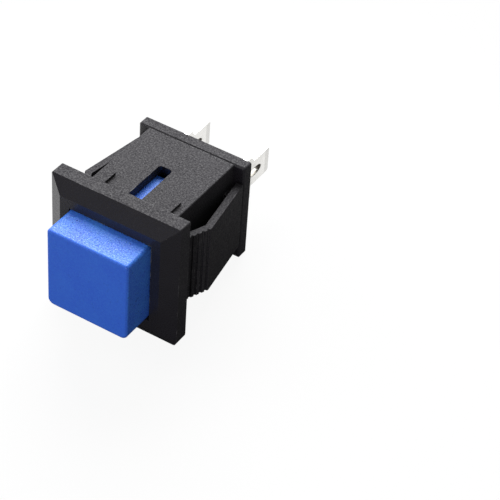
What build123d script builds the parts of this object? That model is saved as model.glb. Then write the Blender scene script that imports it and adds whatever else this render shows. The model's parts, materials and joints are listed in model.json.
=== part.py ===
from build123d import *
import os

# A square momentary pushbutton switch that snaps into a 14 mm panel cut-out.
# Frame, in mm: the origin is the centre of the bezel's rear face, which seats on the panel.
# -Y points out of the panel to the finger, +Y to the terminals, +Z to the upper slotted face.

# --- driving dimensions: housing
bezel_width = 16.5
bezel_corner = 0.2           # upper corners
bezel_lower_corner = 0.6
bezel_rim = 1.75             # straight edge of the bezel, before the bevel
bevel_height = 1.05
bevel_inset = 1.8

body_width = 11.2            # along X
body_height = 12.8           # along Z
body_length = 12.6
body_edge = 0.15
side_wall = 1.0
top_wall = 1.1

slot_width = 1.7
slot_start = 0.8
slot_end = 7.8
slot_corner = 0.4

rib_inner = 3.75             # crush ribs on the upper and lower faces
rib_outer = 4.7
rib_length = 3.6
rib_height = 0.35

# outer face of the +X snap wing, from its root at the rear to its free front end, as (x, y)
wing_root = (7.0, 12.45)
wing_peak = (8.25, 4.25)
wing_tip = (6.7, 0.45)
wing_thickness = 0.8
wing_half_height = 4.4
wing_peak_radius = 0.15
wing_bridge_length = 1.7
wing_bridge_half_height = 3.5
ridge_count = 5
ridge_pitch = 0.7
ridge_groove = 0.17          # radius of the grooves between the grip ridges

# --- driving dimensions: push button
button_width = 10.4
button_proud = 5.1           # button front to the bezel rim's front edge
button_corner = 0.4          # upper corners
button_lower_corner = 0.8
button_front_edge = 0.3
button_wall = 1.45           # at the front
button_gap = 0.1             # running gap round the button and its shank
travel = 2.2
shank_wall = 1.2
core_corner = 0.6
stem_radius = 1.65
stem_bore = 1.2
stem_slit = 0.5
web_thickness = 0.9          # webs that carry the stem
head_radius = 2.0
head_seat_depth = 0.3        # how far the head's section reaches into the stem
head_land = 0.25
head_length = 0.65
notch_depth = 1.3
notch_gap = 0.25
peg_width = 1.2
peg_length = 1.75
peg_height = 0.7
peg_ramp = (0.2, 0.4)

# --- driving dimensions: base
flange_width = 13.95
flange_height = 12.9
flange_thickness = 1.4
flange_corner = 0.25
flange_break = 0.2           # bevel round its front edge, which leaves a fine groove at the body
plug_gap = 0.04
well_radius = 2.7
post_radius = 0.6
post_length = 4
blade_gap = 0.03

# --- driving dimensions: terminals, with the blade's outline in the YZ plane
blade_thickness = 0.6
blade_x = 4.0                # middle of the blade
tip_y = 22.6
step_y = 18.75
tab_low = -1.2
tab_high = 2.15
tab_corner = 0.4
tab_coin = 0.18
shoulder_low = -2.95
shoulder_high = 3.0
root_low = -3.8
neck_y = 15.3
neck_depth = 0.75
neck_half_width = 0.5
foot_inner = 2.3
foot_half_height = 1.5
foot_bend = 0.3
eye_width = 1.0
eye_start = 18.5
eye_end = 20.65

# --- driving dimensions: contacts and springs
contact_x = 3.25
contact_gap = 1.5
head_thickness = 0.3         # of a fixed contact
moving_head_thickness = 0.4
fixed_head_radius = 0.9
moving_head_radius = 0.85
dome_height = 0.18
rivet_radius = 0.5
rivet_hole = 0.52
upset_radius = 0.7
upset_height = 0.2
bridge_thickness = 0.4
bridge_half_length = 4.35
bridge_arm_width = 2.6
bridge_corner = 0.5
bridge_eye_radius = 2.7
bridge_eye_bore = 1.71
return_coil = 0.93           # mean radius
return_wire = 0.2
return_turns = 6
contact_coil = 2.0
contact_wire = 0.36
contact_turns = 3

# --- worked-out stations along Y
bezel_front = -(bezel_rim + bevel_height)
button_front = -(bezel_rim + button_proud)
flange_rear = body_length + flange_thickness
plug_front = 10.4
foot_front = plug_front - blade_thickness
fixed_contact_face = foot_front - head_thickness
moving_contact_face = fixed_contact_face - contact_gap
bridge_rear = moving_contact_face - moving_head_thickness
bridge_front = bridge_rear - bridge_thickness
cap_rear = -1.9              # shoulder where the wide cap ends and the narrower shank starts
recess_floor = cap_rear + travel + 0.05
shank_rear = 7.4
core_front = button_front + button_wall
head_rear = bridge_rear + head_length
slit_front = 4.5
peg_start = slot_start + 0.05
peg_end = slot_start + peg_length
web_rear = 3.5               # front end of the contact spring
bore_front = 3.0             # front end of the return spring, in the stem's bore
well_floor = 12.2            # rear end of the return spring, in the base's well

# --- worked-out sections
cavity_width = body_width - 2 * side_wall
cavity_height = body_height - 2 * top_wall
shank_width = cavity_width - 2 * button_gap
core_width = shank_width - 2 * shank_wall
core_height = button_width - 2 * shank_wall


def across(y):
    """Plane at station y: sketch x is +X, sketch y is +Z, and it faces the finger side."""
    return Plane.XZ.offset(-y)


def between(low, high):
    """Middle and length of a stretch."""
    return (low + high) / 2, high - low


os.makedirs("parts", exist_ok=True)

# --- housing: bezel, body and snap wings, moulded in one piece
with BuildPart() as housing:
    # bezel: straight rim, then a mitred bevel up to a flat land round the button
    with BuildSketch(across(0)):
        Rectangle(bezel_width, bezel_width)
    extrude(amount=bezel_rim)
    with BuildSketch(across(-bezel_rim)):
        Rectangle(bezel_width, bezel_width)
    with BuildSketch(across(bezel_front)):
        Rectangle(bezel_width - 2 * bevel_inset, bezel_width - 2 * bevel_inset)
    loft()
    with BuildSketch(across(0)) as bezel_outline:
        Rectangle(bezel_width, bezel_width)
        fillet(bezel_outline.vertices().group_by(Axis.Y)[0], bezel_lower_corner)
        fillet(bezel_outline.vertices().group_by(Axis.Y)[-1], bezel_corner)
    extrude(amount=-bezel_front, mode=Mode.INTERSECT)

    # box body, with its long edges just broken
    with BuildSketch(across(0)):
        RectangleRounded(body_width, body_height, body_edge)
    extrude(amount=-body_length)

    # snap wing: a bent strip, free at the front, with grip ridges moulded on its front ramp
    ramp = (Vector(*wing_tip) - Vector(*wing_peak)).normalized()
    grooves = [Vector(*wing_peak) + ramp * ridge_pitch * (n + 0.5) for n in range(ridge_count)]
    with BuildSketch(Plane.XY) as wing_profile:
        with BuildLine():
            face = Polyline(wing_root, wing_peak, wing_tip)
            offset(face, wing_thickness, side=Side.RIGHT, closed=True)
        make_face()
        fillet(wing_profile.vertices().sort_by(Axis.X)[-1], wing_peak_radius)
        with Locations(*[(point.X, point.Y) for point in grooves]):
            Circle(ridge_groove, mode=Mode.SUBTRACT)
    wing = extrude(amount=wing_half_height, both=True)

    # bridge that joins the wing's root to the body's side wall
    bridge_y, bridge_run = between(wing_root[1] - wing_bridge_length, wing_root[1])
    bridge_x, bridge_reach = between(body_width / 2 - side_wall / 2, wing_root[0] - wing_thickness / 2)
    with BuildSketch(Plane.XY):
        with Locations((bridge_x, bridge_y)):
            Rectangle(bridge_reach, bridge_run)
    root_bridge = extrude(amount=wing_bridge_half_height, both=True)
    mirror(wing, about=Plane.YZ)
    mirror(root_bridge, about=Plane.YZ)

    # crush ribs that take up play in the cut-out, on the upper and lower faces
    rib_x, rib_width = between(rib_inner, rib_outer)
    with BuildSketch(across(0)):
        with GridLocations(2 * rib_x, body_height, 2, 2):
            Rectangle(rib_width, 2 * rib_height)
    extrude(amount=-rib_length)

    # button opening, then the narrower cavity that guides the shank and takes the base's plug
    with BuildSketch(across(bezel_front)):
        Rectangle(button_width + 2 * button_gap, button_width + 2 * button_gap)
    extrude(amount=bezel_front - recess_floor, mode=Mode.SUBTRACT)
    with BuildSketch(across(recess_floor)):
        Rectangle(cavity_width, cavity_height)
    extrude(amount=recess_floor - body_length, mode=Mode.SUBTRACT)

    # guide slots for the button's pegs, through the upper and lower walls
    slot_y, slot_length = between(slot_start, slot_end)
    with BuildSketch(Plane.XY):
        with Locations((0, slot_y)):
            RectangleRounded(slot_width, slot_length, slot_corner)
    extrude(amount=body_height, both=True, mode=Mode.SUBTRACT)
housing.part.label = "housing"
export_step(housing.part, "parts/housing.step")

# --- push button: hollow cap, shank, guide pegs and split stem, moulded in one piece
with BuildPart() as push_button:
    with BuildSketch(across(cap_rear)) as cap_outline:
        Rectangle(button_width, button_width)
        fillet(cap_outline.vertices().group_by(Axis.Y)[0], button_lower_corner)
        fillet(cap_outline.vertices().group_by(Axis.Y)[-1], button_corner)
    extrude(amount=cap_rear - button_front)
    fillet(push_button.faces().sort_by(Axis.Y)[0].edges(), button_front_edge)
    with BuildSketch(across(shank_rear)):
        Rectangle(shank_width, button_width)
    extrude(amount=shank_rear - cap_rear)

    # cored from the rear, leaving even walls
    with BuildSketch(across(shank_rear)):
        RectangleRounded(core_width, core_height, core_corner)
    extrude(amount=shank_rear - core_front, mode=Mode.SUBTRACT)

    # stem down the middle, on four webs whose ends seat the contact spring
    with BuildSketch(across(head_rear)):
        Circle(stem_radius)
    extrude(amount=head_rear - core_front)
    with BuildSketch(across(web_rear)):
        Rectangle(core_width + shank_wall, web_thickness)
        Rectangle(web_thickness, core_height + shank_wall)
    extrude(amount=web_rear - core_front)

    # snap head that keeps the bridge on the stem: a flat seat, then a lead-in cone
    head_inner = stem_radius - head_seat_depth
    with BuildSketch(Plane.XY):
        with BuildLine():
            Polyline(
                (head_inner, bridge_rear),
                (head_radius, bridge_rear),
                (head_radius, bridge_rear + head_land),
                (stem_radius, head_rear),
                (head_inner, head_rear),
                close=True,
            )
        make_face()
    revolve(axis=Axis.Y)

    # bore for the return spring, and the slit that lets the head close through the bridge
    with BuildSketch(across(head_rear)):
        Circle(stem_bore)
    extrude(amount=head_rear - bore_front, mode=Mode.SUBTRACT)
    with BuildSketch(across(head_rear)):
        Rectangle(stem_slit, 2 * head_radius)
    extrude(amount=head_rear - slit_front, mode=Mode.SUBTRACT)

    # notches in the side walls that the bridge's arms slide in
    notch_height = bridge_arm_width + 2 * notch_gap
    with BuildSketch(across(shank_rear)):
        Rectangle(shank_width, notch_height)
        Rectangle(core_width, notch_height, mode=Mode.SUBTRACT)
    extrude(amount=notch_depth, mode=Mode.SUBTRACT)

    # pegs that run in the guide slots and hold the button in the housing, ramped at the rear
    peg_low = button_width / 2 - shank_wall / 2
    peg_high = button_width / 2 + peg_height
    with BuildSketch(Plane.YZ):
        with BuildLine():
            Polyline(
                (peg_start, peg_low),
                (peg_start, peg_high),
                (peg_end - peg_ramp[0], peg_high),
                (peg_end, peg_high - peg_ramp[1]),
                (peg_end, peg_low),
                close=True,
            )
        make_face()
    peg = extrude(amount=peg_width / 2, both=True)
    mirror(peg, about=Plane.XY)
push_button.part.label = "push_button"
export_step(push_button.part, "parts/push_button.step")

# --- base: rear flange, plug, spring well and post, moulded in one piece
with BuildPart() as base:
    with BuildSketch(across(body_length)):
        RectangleRounded(flange_width, flange_height, flange_corner)
    extrude(amount=-flange_thickness)
    chamfer(base.faces().sort_by(Axis.Y)[0].edges(), flange_break)
    with BuildSketch(across(body_length)):
        Rectangle(cavity_width - 2 * plug_gap, cavity_height - 2 * plug_gap)
    extrude(amount=body_length - plug_front)

    # well that the stem's head enters, with a post up the return spring
    with BuildSketch(across(plug_front)):
        Circle(well_radius)
    extrude(amount=plug_front - well_floor, mode=Mode.SUBTRACT)
    with BuildSketch(across(well_floor)):
        Circle(post_radius)
    extrude(amount=post_length)
    fillet(base.edges().filter_by(GeomType.CIRCLE).sort_by(Axis.Y)[0], post_radius / 2)

    # blade slots through the flange, and rebates beside the plug for the blades' inner legs
    root_z, root_height = between(root_low - blade_gap, shoulder_high + blade_gap)
    with BuildSketch(across(flange_rear)):
        with Locations((blade_x, root_z), (-blade_x, root_z)):
            Rectangle(blade_thickness + 2 * blade_gap, root_height)
    extrude(amount=flange_thickness, mode=Mode.SUBTRACT)
    leg_inner = blade_x - blade_thickness / 2
    rebate_x, rebate_width = between(leg_inner - blade_gap, cavity_width / 2)
    with BuildSketch(across(body_length)):
        with Locations((rebate_x, 0), (-rebate_x, 0)):
            Rectangle(rebate_width, 2 * (foot_half_height + blade_gap))
    extrude(amount=body_length - plug_front, mode=Mode.SUBTRACT)
base.part.label = "base"
export_step(base.part, "parts/base.step")

# --- terminals: a stamped strip each, blade outside, inner leg and foot inside
with BuildPart() as terminal_right:
    # blade: a wide shoulder with a narrow neck at the flange, then a stepped-down tab
    with BuildSketch(Plane.YZ.offset(blade_x)):
        with BuildLine():
            Polyline(
                (body_length, root_low),
                (neck_y - neck_half_width, root_low),
                (neck_y, root_low + neck_depth),
                (neck_y + neck_half_width, shoulder_low),
                (step_y, shoulder_low),
                (step_y, tab_low),
                (tip_y - tab_corner, tab_low),
                (tip_y, tab_low + tab_corner),
                (tip_y, tab_high - tab_corner),
                (tip_y - tab_corner, tab_high),
                (step_y + neck_half_width, tab_high),
                (step_y, shoulder_high),
                (neck_y + neck_half_width, shoulder_high),
                (neck_y, shoulder_high - neck_depth),
                (neck_y - neck_half_width, shoulder_high),
                (body_length, shoulder_high),
                close=True,
            )
        make_face()
        eye_y, eye_length = between(eye_start, eye_end)
        tab_z, tab_height = between(tab_low, tab_high)
        with Locations((eye_y, tab_z)):
            SlotOverall(eye_length, eye_width, mode=Mode.SUBTRACT)
    extrude(amount=blade_thickness / 2, both=True)
    # the tab's end is coined to a thin edge, so that a receptacle slides on
    tip = terminal_right.faces().sort_by(Axis.Y)[-1]
    chamfer(tip.edges().filter_by(Axis.Z), tab_coin)

    # inner leg along the plug, bent inwards to the foot that carries the fixed contact
    leg_outer = blade_x + blade_thickness / 2
    with BuildSketch(Plane.XY) as leg_profile:
        with BuildLine():
            Polyline(
                (leg_outer, body_length),
                (leg_outer, foot_front),
                (foot_inner, foot_front),
                (foot_inner, plug_front),
                (leg_inner, plug_front),
                (leg_inner, body_length),
                close=True,
            )
        make_face()
        fillet(leg_profile.vertices().group_by(Axis.X)[-1].sort_by(Axis.Y)[0], foot_bend)
    extrude(amount=foot_half_height, both=True)
    with BuildSketch(across(plug_front)):
        with Locations((contact_x, 0)):
            Circle(rivet_hole)
    extrude(amount=blade_thickness, mode=Mode.SUBTRACT)
terminal_right.part.label = "terminal_right"
export_step(terminal_right.part, "parts/terminal_right.step")

with BuildPart() as terminal_left:
    mirror(terminal_right.part, about=Plane.YZ)
terminal_left.part.label = "terminal_left"
export_step(terminal_left.part, "parts/terminal_left.step")


# --- contacts: rivets with domed heads, in the terminals' feet and in the bridge
def rivet_profile(face, seat, tail, radius):
    """Half section of a rivet at contact_x: domed head from face to seat, then a shank to tail."""
    outward = 1 if seat > face else -1
    dome = (radius**2 + dome_height**2) / (2 * dome_height)
    rim = face + outward * dome_height
    RadiusArc((contact_x, face), (contact_x + radius, rim), -outward * dome)
    Polyline(
        (contact_x + radius, rim),
        (contact_x + radius, seat),
        (contact_x + rivet_radius, seat),
        (contact_x + rivet_radius, tail),
        (contact_x, tail),
        (contact_x, face),
    )


contact_axis = Axis((contact_x, 0, 0), (0, 1, 0))

with BuildPart() as fixed_contact_right:
    with BuildSketch(Plane.XY):
        with BuildLine():
            rivet_profile(fixed_contact_face, foot_front, plug_front, fixed_head_radius)
        make_face()
    revolve(axis=contact_axis)
fixed_contact_right.part.label = "fixed_contact_right"
export_step(fixed_contact_right.part, "parts/fixed_contact_right.step")

with BuildPart() as fixed_contact_left:
    mirror(fixed_contact_right.part, about=Plane.YZ)
fixed_contact_left.part.label = "fixed_contact_left"
export_step(fixed_contact_left.part, "parts/fixed_contact_left.step")

with BuildPart() as bridge_contact_right:
    with BuildSketch(Plane.XY):
        with BuildLine():
            rivet_profile(moving_contact_face, bridge_rear, bridge_front, moving_head_radius)
        make_face()
    revolve(axis=contact_axis)
    # upset end that holds the rivet in the bridge
    with BuildSketch(across(bridge_front)):
        with Locations((contact_x, 0)):
            Circle(upset_radius)
    extrude(amount=upset_height)
bridge_contact_right.part.label = "bridge_contact_right"
export_step(bridge_contact_right.part, "parts/bridge_contact_right.step")

with BuildPart() as bridge_contact_left:
    mirror(bridge_contact_right.part, about=Plane.YZ)
bridge_contact_left.part.label = "bridge_contact_left"
export_step(bridge_contact_left.part, "parts/bridge_contact_left.step")

# --- contact bridge: a stamped strip with an eye that slides on the stem
with BuildPart() as contact_bridge:
    with BuildSketch(across(bridge_rear)):
        RectangleRounded(2 * bridge_half_length, bridge_arm_width, bridge_corner)
        Circle(bridge_eye_radius)
        Circle(bridge_eye_bore, mode=Mode.SUBTRACT)
        with Locations((contact_x, 0), (-contact_x, 0)):
            Circle(rivet_hole, mode=Mode.SUBTRACT)
    extrude(amount=bridge_thickness)
contact_bridge.part.label = "contact_bridge"
export_step(contact_bridge.part, "parts/contact_bridge.step")


# --- springs: coils of wire, whose round section is kept to five flats
def coil(front, rear, mean_radius, wire, turns):
    """Wire swept along a helix on the switch's axis, with its end turns resting on the two seats."""
    run = rear - front - wire
    with BuildPart() as spring:
        with BuildLine():
            start = (0, front + wire / 2, 0)
            helix = Helix(run / turns, run, mean_radius, center=start, direction=(0, 1, 0))
        with BuildSketch(Plane(helix @ 0, z_dir=helix % 0)):
            RegularPolygon(wire / 2, 5)
        sweep(is_frenet=True)
    return spring.part


return_spring = coil(bore_front, well_floor, return_coil, return_wire, return_turns)
return_spring.label = "return_spring"
export_step(return_spring, "parts/return_spring.step")

contact_spring = coil(web_rear, bridge_front, contact_coil, contact_wire, contact_turns)
contact_spring.label = "contact_spring"
export_step(contact_spring, "parts/contact_spring.step")
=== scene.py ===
"""Looks of a square pushbutton switch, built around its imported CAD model. Lengths are in metres."""

import json
import math

import bpy
from mathutils import Matrix, Vector

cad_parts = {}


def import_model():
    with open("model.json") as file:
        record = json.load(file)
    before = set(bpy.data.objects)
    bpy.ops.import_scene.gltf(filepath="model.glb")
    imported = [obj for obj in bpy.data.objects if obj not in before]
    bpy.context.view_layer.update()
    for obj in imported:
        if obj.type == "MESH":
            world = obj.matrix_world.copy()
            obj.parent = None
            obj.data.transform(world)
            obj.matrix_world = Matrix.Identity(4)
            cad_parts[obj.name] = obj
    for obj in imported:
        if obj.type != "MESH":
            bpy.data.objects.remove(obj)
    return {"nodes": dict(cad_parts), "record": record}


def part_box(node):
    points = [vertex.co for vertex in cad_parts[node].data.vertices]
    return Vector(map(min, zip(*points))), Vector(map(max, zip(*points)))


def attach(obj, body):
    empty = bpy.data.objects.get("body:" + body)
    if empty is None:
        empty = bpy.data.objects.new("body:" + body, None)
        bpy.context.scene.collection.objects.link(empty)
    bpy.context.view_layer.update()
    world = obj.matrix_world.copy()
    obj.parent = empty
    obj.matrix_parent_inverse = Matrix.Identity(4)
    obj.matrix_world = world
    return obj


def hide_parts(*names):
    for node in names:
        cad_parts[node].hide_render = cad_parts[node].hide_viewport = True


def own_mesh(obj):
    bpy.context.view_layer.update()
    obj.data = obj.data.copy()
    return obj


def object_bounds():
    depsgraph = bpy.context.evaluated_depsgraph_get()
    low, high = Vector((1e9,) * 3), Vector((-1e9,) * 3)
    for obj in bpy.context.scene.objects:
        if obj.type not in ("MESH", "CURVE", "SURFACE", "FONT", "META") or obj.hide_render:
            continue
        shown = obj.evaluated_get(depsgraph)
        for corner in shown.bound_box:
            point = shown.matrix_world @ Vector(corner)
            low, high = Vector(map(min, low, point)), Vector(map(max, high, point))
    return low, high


MM = 0.001

# camera, as azimuth, elevation and roll in degrees round the point it aims at
CAMERA_AZIMUTH = 29.54
CAMERA_ELEVATION = 40.99
CAMERA_ROLL = 4.30
CAMERA_AIM = Vector((11.38, 7.30, 0.85)) * MM
CAMERA_DISTANCE = 209.8 * MM
CAMERA_LENS = 140.4          # with the sensor's width, in millimetres
CAMERA_SENSOR = 36.0
CAMERA_NEAR = 10 * MM

# lamps: azimuth and elevation in degrees, distance and size in metres, power in watts
LAMPS = {
    "key": (-150, 42, 0.40, 0.32, 3.45),
    "side": (-74, 28, 0.45, 0.30, 1.00),
    "front": (12, 8, 0.45, 0.14, 0.62),
}
AMBIENT = 0.20               # level of the world's light on the object
REFLECTED = 0.20             # how white the surroundings are in reflections

FLOOR_RADIUS = 60 * MM
FLOOR_SIDES = 96
FLOOR_FADE = (0.55, 0.98)    # where the floor melts into the background, in shares of its radius
FLOOR_COLOUR = 0.75          # to the camera
FLOOR_BOUNCE = 0.10          # in the light it throws back at the object
CAMERA_GLOW = 0.92           # share of plain white in what the camera sees of the floor
GLOSS_GLOW = (0.0, 0.95)     # the same share in reflections, a painted falloff of the key's light and of the object's shadow: at the near right, at the far left
GLOSS_ALONG = (-0.8, 0.6, 0.0)  # direction in which it rises
GLOSS_RISE = (2 * MM, 10 * MM)  # stretch over which it rises

# moulded plastic. Levels are the values of a noise between which an effect comes in.
GRAIN = 0.20 * MM            # pitch of the spark-eroded mould texture
FINE_GRAIN = GRAIN / 2.6
DENT_SIZE = GRAIN * 1.4
CHIP_SIZE = GRAIN * 4
CLOUD_SIZE = GRAIN * 14      # of cloudy patches, and of worn and kept stretches of an edge, whose pale colour is wear with a painted highlight
SMOOTH_GRAIN = 0.25          # share of it on the smoother faces, towards the finger and the rear
FACING = (0.3, 0.7)          # how far a face turns that way, from fully textured to smoother
COARSE_SHARE = 0.6           # of the coarse noise in the pits; the fine noise has the rest
FLECK_LEVELS = (0.46, 0.62)
CLOUD_LEVELS = (0.35, 0.75)
CLOUD = 0.25                 # most of the pale colour in a cloudy patch
DENT_LEVELS = (0.36, 0.28)
DENT_SHADE = 0.3            # share of the base colour at the bottom of a dent, a painted shade
DENT_ROUGHNESS = 0.25        # roughness added there
CHIP_LEVELS = (0.46, 0.60)
CHIP_AND_HIGHLIGHT = 0.9                   # most of the pale edge colour in a chip, wear and partly a painted highlight
WORN_AND_HIGHLIT_LEVELS = (0.48, 0.58)
WORN_AND_HIGHLIT = (0.04, 1.0)           # pale edge colour, wear and partly a painted highlight, along kept and along worn stretches of an edge
WORN_AND_HIGHLIT_WIDTH = 0.18 * MM
UNEVEN_LEVELS = (0.36, 0.64)
UNEVEN = (0.20, -0.10)       # roughness added in the pits and between them
PIT_DEPTH = 0.03 * MM

# plated strip
ROLLED = (1, 0.12, 1)        # the rolling lines' noise is drawn out along Y
DULL = 0.66                  # share of the plating's colour where it is dull
SPECK_SIZE = 3.0             # in widths of a line
SPECK_LEVELS = (0.55, 0.75)
SPECK = 0.35                 # most of the dull colour in a speck
SHEARED_WIDTH = 0.14 * MM
SHEARED = 0.8                # share of the sheared colour along the edges
LINE_LEVELS = (0.3, 0.7)
LINE_ROUGHNESS = (-0.06, 0.10)  # roughness added in the lines and between them
LINE_DEPTH = 0.012 * MM
LINE_BUMP = 0.14
EYE_FROM_TIP = 3.025 * MM    # middle of a terminal's eye, from the blade's end
EYE_HALF = Vector((1.075, 0.5)) * MM
EYE_RIM = (1.22, 1.12)       # where the painted shade round the eye starts and is full, in half eyes
EYE_SHADE = 1.1             # share of the sheared colour in the painted shade round the eye
EYE_ROUGHNESS = 0.2          # roughness added there
TIP_LENGTH = 0.95 * MM       # dull end of a terminal
TIP_BLUR = 0.04 * MM
TIP_DULL = 0.55

EDGE_SHARP = (0.97, 0.80)    # agreement of true and rounded normal on a flat and on a sharp edge
EDGE_SAMPLES = 6

# broken edges
MOULDED_EDGE = 0.07 * MM
BUTTON_EDGE = 0.10 * MM
STAMPED_EDGE = 0.04 * MM
SOFTENED_FROM = math.radians(28)
WELDED = 0.002 * MM

RETURN_WIRE = 0.20 * MM
RETURN_TURNS = 6
CONTACT_WIRE = 0.36 * MM
CONTACT_TURNS = 3
TURN_STEPS = 32              # sections of a spring's wire in one turn
WIRE_SIDES = 10
SPRING_CLEAR = 0.02 * MM     # gap at each end of a spring

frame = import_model()
cad_low, cad_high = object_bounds()


# ------------------------------------------------------------------ node helpers
def shade(colour, share=1):
    """A colour, or a share of it, as a socket takes it."""
    return (*(c * share for c in colour), 1)


class Nodes:
    """A material's or world's node tree, with short calls for what the recipes below need."""

    def __init__(self, owner):
        owner.use_nodes = True
        self.tree = owner.node_tree
        self.tree.nodes.clear()

    def add(self, kind, settings=None, **inputs):
        node = self.tree.nodes.new(kind)
        for name, value in (settings or {}).items():
            setattr(node, name, value)
        for name, value in inputs.items():
            self.put(node, name.replace("_", " "), value)
        return node

    def put(self, node, socket, value):
        target = node.inputs[socket]
        if isinstance(value, bpy.types.NodeSocket):
            self.tree.links.new(value, target)
        else:
            target.default_value = value

    def fill(self, node, *values):
        """Puts values in the node's first sockets, in order."""
        for socket, value in enumerate(values):
            self.put(node, socket, value)
        return node

    def math(self, operation, *values):
        return self.fill(self.add("ShaderNodeMath", {"operation": operation}), *values).outputs[0]

    def times(self, first, second):
        return self.math("MULTIPLY", first, second)

    def plus(self, first, second):
        return self.math("ADD", first, second)

    def vector_math(self, operation, *values):
        """A number worked out from one or two vectors."""
        node = self.add("ShaderNodeVectorMath", {"operation": operation})
        return self.fill(node, *values).outputs["Value"]

    def scaled(self, value, levels, new=(0.0, 1.0)):
        """A value whose stretch between the two levels is mapped smoothly to the new ones."""
        node = self.add("ShaderNodeMapRange", {"interpolation_type": "SMOOTHSTEP"})
        return self.fill(node, value, *levels, *new).outputs["Result"]

    def mix(self, factor, first, second):
        """Two colours mixed."""
        node = self.add("ShaderNodeMix", {"data_type": "RGBA"})
        for socket, value in ((0, factor), (6, first), (7, second)):
            self.put(node, socket, value)
        return node.outputs[2]

    def blended(self, factor, first, second):
        """Two shaders mixed."""
        return self.fill(self.add("ShaderNodeMixShader"), factor, first, second).outputs[0]

    def place(self):
        return self.add("ShaderNodeTexCoord").outputs["Object"]

    def mapped(self, **inputs):
        """Places in the object's own frame, moved and scaled."""
        return self.add("ShaderNodeMapping", Vector=self.place(), **inputs).outputs[0]

    def noise(self, size, detail=2.0, roughness=0.5, stretch=(1, 1, 1)):
        """Noise whose cells are about size metres across, in the object's own frame."""
        node = self.add("ShaderNodeTexNoise", Vector=self.mapped(Scale=stretch), Scale=1 / size,
                        Detail=detail, Roughness=roughness)
        return node.outputs["Fac"]

    def edges(self, radius):
        """1 on sharp edges and 0 on flats: how far the rounded normal departs from the true one."""
        rounded = self.add("ShaderNodeBevel", {"samples": EDGE_SAMPLES}, Radius=radius).outputs[0]
        true = self.add("ShaderNodeNewGeometry").outputs["Normal"]
        return self.scaled(self.vector_math("DOT_PRODUCT", rounded, true), EDGE_SHARP)

    def textured(self):
        """1 on faces along the switch's axis, less on those towards the finger or the rear."""
        normal = self.add("ShaderNodeTexCoord").outputs["Normal"]
        facing = self.math("ABSOLUTE", self.vector_math("DOT_PRODUCT", normal, (0, 1, 0)))
        return self.scaled(facing, FACING, (1.0, SMOOTH_GRAIN))

    def rays(self):
        """1 for what the camera sees straight, and 1 for what it sees in gloss or through glass."""
        path = self.add("ShaderNodeLightPath").outputs
        reflected = self.math("MAXIMUM", path["Is Glossy Ray"], path["Is Transmission Ray"])
        return path["Is Camera Ray"], reflected

    def surface(self, shader, output="ShaderNodeOutputMaterial"):
        self.add(output, Surface=shader)

    def principled(self, colour, roughness, height, bump, depth, **same_all_over):
        """The material's surface. Numbers that are the same all over go on the shader's sockets."""
        normal = self.add("ShaderNodeBump", Strength=bump, Distance=depth, Height=height)
        shader = self.add("ShaderNodeBsdfPrincipled", Base_Color=colour, Roughness=roughness,
                          Normal=normal.outputs[0], **same_all_over)
        self.surface(shader.outputs[0])


# ------------------------------------------------------------------ materials
def plastic(name, colour, pale, worn_and_highlight, fleck, dent_and_shade, roughness, matt, gloss, bump):
    """Plastic from a spark-eroded mould: pits, paler flecks, dents with a painted shade in them, and
    worn, chipped edges whose pale colour is partly a painted highlight.

    fleck and dent_and_shade say how strongly those show, and matt is what the texture adds to
    roughness.
    """
    material = bpy.data.materials.new(name)
    nodes = Nodes(material)
    coarse = nodes.noise(GRAIN, detail=3.0, roughness=0.65)
    fine = nodes.noise(FINE_GRAIN, roughness=0.6)
    chips = nodes.noise(CHIP_SIZE, detail=3.0, roughness=0.7)
    dots = nodes.noise(DENT_SIZE, detail=1.0)
    blotch = nodes.noise(CLOUD_SIZE)
    textured = nodes.textured()

    pits = nodes.plus(nodes.times(coarse, COARSE_SHARE), nodes.times(fine, 1 - COARSE_SHARE))
    flecks = nodes.times(nodes.scaled(pits, FLECK_LEVELS, (0.0, fleck)), textured)
    clouds = nodes.times(nodes.scaled(blotch, CLOUD_LEVELS, (0.0, CLOUD)), textured)
    shaded_dents = nodes.times(nodes.scaled(dots, DENT_LEVELS), textured)
    chipped_and_highlit = nodes.times(nodes.scaled(chips, CHIP_LEVELS, (0.0, CHIP_AND_HIGHLIGHT)),
                          nodes.scaled(blotch, WORN_AND_HIGHLIT_LEVELS, WORN_AND_HIGHLIT))

    base = nodes.mix(flecks, shade(colour), shade(pale))
    base = nodes.mix(clouds, base, shade(pale))
    # painted shade: each dent is darkened towards its floor
    base = nodes.mix(nodes.times(shaded_dents, dent_and_shade), base, shade(colour, DENT_SHADE))
    # pale colour along the edges: wear, and partly a painted highlight on the edges
    base = nodes.mix(nodes.times(nodes.edges(WORN_AND_HIGHLIT_WIDTH), chipped_and_highlit), base, shade(worn_and_highlight))

    uneven = nodes.plus(nodes.scaled(pits, UNEVEN_LEVELS, UNEVEN),
                        nodes.times(shaded_dents, DENT_ROUGHNESS * dent_and_shade))
    rough = nodes.plus(nodes.times(nodes.plus(uneven, matt), textured), roughness)
    nodes.principled(base, rough, pits, bump, PIT_DEPTH, Specular_IOR_Level=gloss)
    return material


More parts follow.
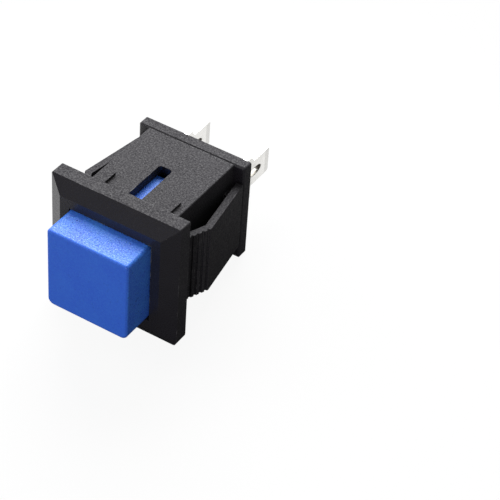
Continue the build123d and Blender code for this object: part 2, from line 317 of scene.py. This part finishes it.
def plated(name, colour, sheared, roughness, grain, eye=None):
    """Bright plated strip: faint rolling lines, dull specks, darker sheared edges, painted shade
    round the eye, and tip.
    """
    material = bpy.data.materials.new(name)
    nodes = Nodes(material)
    lines = nodes.noise(grain, detail=3.0, roughness=0.6, stretch=ROLLED)
    specks = nodes.noise(grain * SPECK_SIZE)
    dull = shade(colour, DULL)
    base = nodes.mix(nodes.scaled(specks, SPECK_LEVELS, (0.0, SPECK)), shade(colour), dull)
    base = nodes.mix(nodes.times(nodes.edges(SHEARED_WIDTH), SHEARED), base, shade(sheared))
    rough = nodes.scaled(lines, LINE_LEVELS, [roughness + more for more in LINE_ROUGHNESS])
    if eye:
        scale = (0, 1 / EYE_HALF.x, 1 / EYE_HALF.y)
        from_eye = nodes.mapped(Location=(0, -eye.y * scale[1], -eye.z * scale[2]), Scale=scale)
        # painted shade round the eye, in the sheared colour
        shade_round_eye = nodes.scaled(nodes.vector_math("LENGTH", from_eye), EYE_RIM)
        base = nodes.mix(shade_round_eye, base, shade(sheared, EYE_SHADE))
        rough = nodes.plus(rough, nodes.times(shade_round_eye, EYE_ROUGHNESS))
        along = nodes.vector_math("DOT_PRODUCT", nodes.place(), (0, 1, 0))
        tip = eye.y + EYE_FROM_TIP - TIP_LENGTH
        ended = nodes.scaled(along, (tip - TIP_BLUR, tip + TIP_BLUR), (0.0, TIP_DULL))
        base = nodes.mix(ended, base, dull)
    nodes.principled(base, rough, lines, LINE_BUMP, LINE_DEPTH, Metallic=1.0)
    return material


blade_end = next(Vector(mount["pos_m"]) for mount in frame["record"]["mounts"]
                 if mount["name"] == "terminal_tab_right")
blade_eye = blade_end - Vector((0, EYE_FROM_TIP, 0))

BLACK = plastic("black_plastic", colour=(0.016, 0.0145, 0.019), pale=(0.045, 0.043, 0.048),
                worn_and_highlight=(0.24, 0.24, 0.25), fleck=0.85, dent_and_shade=0.7, roughness=0.11, matt=0.66,
                gloss=0.5, bump=1.0)
BLUE = plastic("blue_plastic", colour=(0.040, 0.147, 0.79), pale=(0.085, 0.38, 0.97),
               worn_and_highlight=(0.20, 0.52, 0.98), fleck=0.60, dent_and_shade=0.50, roughness=0.42, matt=0.0,
               gloss=0.38, bump=0.9)
TIN = plated("tin_plating", colour=(0.88, 0.87, 0.84), sheared=(0.20, 0.19, 0.17),
             roughness=0.24, grain=0.12 * MM, eye=blade_eye)
SILVER = plated("silver_alloy", colour=(0.88, 0.86, 0.82), sheared=(0.60, 0.57, 0.52),
                roughness=0.32, grain=0.10 * MM)
BRASS = plated("brass_strip", colour=(0.78, 0.57, 0.25), sheared=(0.45, 0.30, 0.12),
               roughness=0.30, grain=0.12 * MM)
STEEL = plated("spring_steel", colour=(0.52, 0.52, 0.53), sheared=(0.40, 0.40, 0.41),
               roughness=0.26, grain=0.06 * MM)

# by the record's material slots
FINISHES = {"housing": BLACK, "base": BLACK, "button": BLUE, "terminals": TIN,
            "contacts": SILVER, "bridge": BRASS, "springs": STEEL}
for part in frame["record"]["subparts"]:
    slots = frame["nodes"][part["node"]].data.materials
    slots.clear()
    slots.append(FINISHES[part["material_slot"]])


# ------------------------------------------------------------------ broken edges
def soften(node, width, segments=2):
    """Rounds a CAD node's sharp edges with modifiers, leaving its own mesh as it is."""
    target = frame["nodes"][node]
    weld = target.modifiers.new("weld", "WELD")
    weld.merge_threshold = WELDED
    bevel = target.modifiers.new("soft_edges", "BEVEL")
    bevel.width = width
    bevel.segments = segments
    bevel.limit_method = "ANGLE"
    bevel.angle_limit = SOFTENED_FROM
    bevel.harden_normals = True


soften("housing", MOULDED_EDGE)
soften("base", MOULDED_EDGE)
soften("push_button", BUTTON_EDGE, segments=3)
soften("terminal_left", STAMPED_EDGE)
soften("terminal_right", STAMPED_EDGE)


# ------------------------------------------------------------------ springs
def wire_mesh(name, radius, wire, turns, front, rear):
    """A coil of round wire along the switch's axis, from front to rear."""
    rise = (rear - front - wire) / (turns * TURN_STEPS)
    points = []
    for step in range(turns * TURN_STEPS + 1):
        angle = step * math.tau / TURN_STEPS
        out = Vector((math.cos(angle), 0, math.sin(angle)))
        middle = out * radius + Vector((0, front + wire / 2 + step * rise, 0))
        for side in range(WIRE_SIDES):
            around = side * math.tau / WIRE_SIDES
            spoke = out * math.cos(around) + Vector((0, math.sin(around), 0))
            points.append(middle + spoke * wire / 2)
    last = len(points) - WIRE_SIDES
    faces = [tuple(reversed(range(WIRE_SIDES))), tuple(range(last, len(points)))]
    for start in range(0, last, WIRE_SIDES):
        for side in range(WIRE_SIDES):
            here, beside = start + side, start + (side + 1) % WIRE_SIDES
            faces.append((here, beside, beside + WIRE_SIDES, here + WIRE_SIDES))
    mesh = bpy.data.meshes.new(name)
    mesh.from_pydata(points, [], faces)
    mesh.shade_smooth()
    return mesh


def wound_spring(node, wire, turns, body):
    """Stands for a CAD spring: a coil of round wire in its box, carried by the body."""
    low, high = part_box(node)
    name = node + "_coil"
    radius = (high.x - low.x - wire) / 2
    mesh = wire_mesh(name, radius, wire, turns, low.y + SPRING_CLEAR, high.y - SPRING_CLEAR)
    mesh.materials.append(STEEL)
    spring = bpy.data.objects.new(name, mesh)
    bpy.context.collection.objects.link(spring)
    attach(spring, body)
    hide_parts(node)
    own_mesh(spring)


wound_spring("return_spring", RETURN_WIRE, RETURN_TURNS, "switch_body")
wound_spring("contact_spring", CONTACT_WIRE, CONTACT_TURNS, "button")


# ------------------------------------------------------------------ floor, light and camera
def looking(aim, azimuth, elevation, distance, roll=0):
    """Matrix of a camera or lamp that looks at aim. Azimuth 0 looks along +Y, 90 along -X."""
    a, e = math.radians(azimuth), math.radians(elevation)
    back = Vector((math.sin(a) * math.cos(e), -math.cos(a) * math.cos(e), math.sin(e)))
    turn = back.to_track_quat("Z", "Y").to_matrix().to_4x4()
    turn = turn @ Matrix.Rotation(math.radians(roll), 4, "Z")
    return Matrix.Translation(aim + back * distance) @ turn


def floor_material():
    """Pale floor, mostly plain white to the camera, that keeps the shadow and fades out; in
    reflections its glow is a painted falloff, brighter towards the far left.
    """
    material = bpy.data.materials.new("floor_white")
    nodes = Nodes(material)
    straight, reflected = nodes.rays()
    colour = nodes.mix(straight, shade((FLOOR_BOUNCE,) * 3), shade((FLOOR_COLOUR,) * 3))
    matte = nodes.add("ShaderNodeBsdfDiffuse", Color=colour)
    glow = nodes.add("ShaderNodeEmission", Color=(1, 1, 1, 1), Strength=1.0)
    position = nodes.add("ShaderNodeNewGeometry").outputs["Position"]
    # painted light in reflections: the floor's glow rises towards the key's side, standing in for its
    # falloff and the object's shadow
    painted_falloff = nodes.scaled(nodes.vector_math("DOT_PRODUCT", position, GLOSS_ALONG),
                          GLOSS_RISE, GLOSS_GLOW)
    share = nodes.plus(nodes.times(straight, CAMERA_GLOW), nodes.times(reflected, painted_falloff))
    lit = nodes.blended(share, matte.outputs[0], glow.outputs[0])
    clear = nodes.add("ShaderNodeBsdfTransparent").outputs[0]
    faded = nodes.scaled(nodes.vector_math("LENGTH", nodes.place()), FLOOR_FADE)
    nodes.surface(nodes.blended(faded, lit, clear))
    return material


def floor():
    """A disc that the bezel's and the base's lower edges rest on."""
    front = Vector((0, 0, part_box("housing")[0].z))
    back = Vector((0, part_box("base")[1].y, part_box("base")[0].z))
    tilt = math.atan2(back.z - front.z, back.y - front.y)
    bpy.ops.mesh.primitive_circle_add(vertices=FLOOR_SIDES, radius=1, fill_type="NGON")
    disc = bpy.context.object
    disc.name = "floor"
    place = Matrix.Translation((front + back) / 2) @ Matrix.Rotation(tilt, 4, "X")
    disc.matrix_world = place @ Matrix.Scale(FLOOR_RADIUS, 4)
    disc.data.materials.append(floor_material())


def lamp(name, azimuth, elevation, distance, size, power):
    """A square soft lamp that faces the middle of the object."""
    light = bpy.data.lights.new(name, "AREA")
    light.size = size
    light.energy = power
    holder = bpy.data.objects.new(name, light)
    bpy.context.collection.objects.link(holder)
    holder.matrix_world = looking((cad_low + cad_high) / 2, azimuth, elevation, distance)


def world():
    """White to the camera, darker in reflections, and a plain soft light on the object."""
    surroundings = bpy.data.worlds.new("surroundings")
    bpy.context.scene.world = surroundings
    nodes = Nodes(surroundings)
    straight, reflected = nodes.rays()
    level = nodes.math("MAXIMUM", nodes.times(reflected, REFLECTED), straight)
    level = nodes.math("MAXIMUM", level, AMBIENT)
    sky = nodes.add("ShaderNodeBackground", Color=(1, 1, 1, 1), Strength=level)
    nodes.surface(sky.outputs[0], "ShaderNodeOutputWorld")


def camera():
    holder = bpy.data.objects.new("camera", bpy.data.cameras.new("camera"))
    bpy.context.collection.objects.link(holder)
    holder.data.lens = CAMERA_LENS
    holder.data.sensor_width = CAMERA_SENSOR
    holder.data.clip_start = CAMERA_NEAR
    holder.matrix_world = looking(CAMERA_AIM, CAMERA_AZIMUTH, CAMERA_ELEVATION,
                                  CAMERA_DISTANCE, CAMERA_ROLL)
    bpy.context.scene.camera = holder


floor()
world()
for name, settings in LAMPS.items():
    lamp(name, *settings)
camera()
bpy.context.scene.view_settings.view_transform = "Standard"
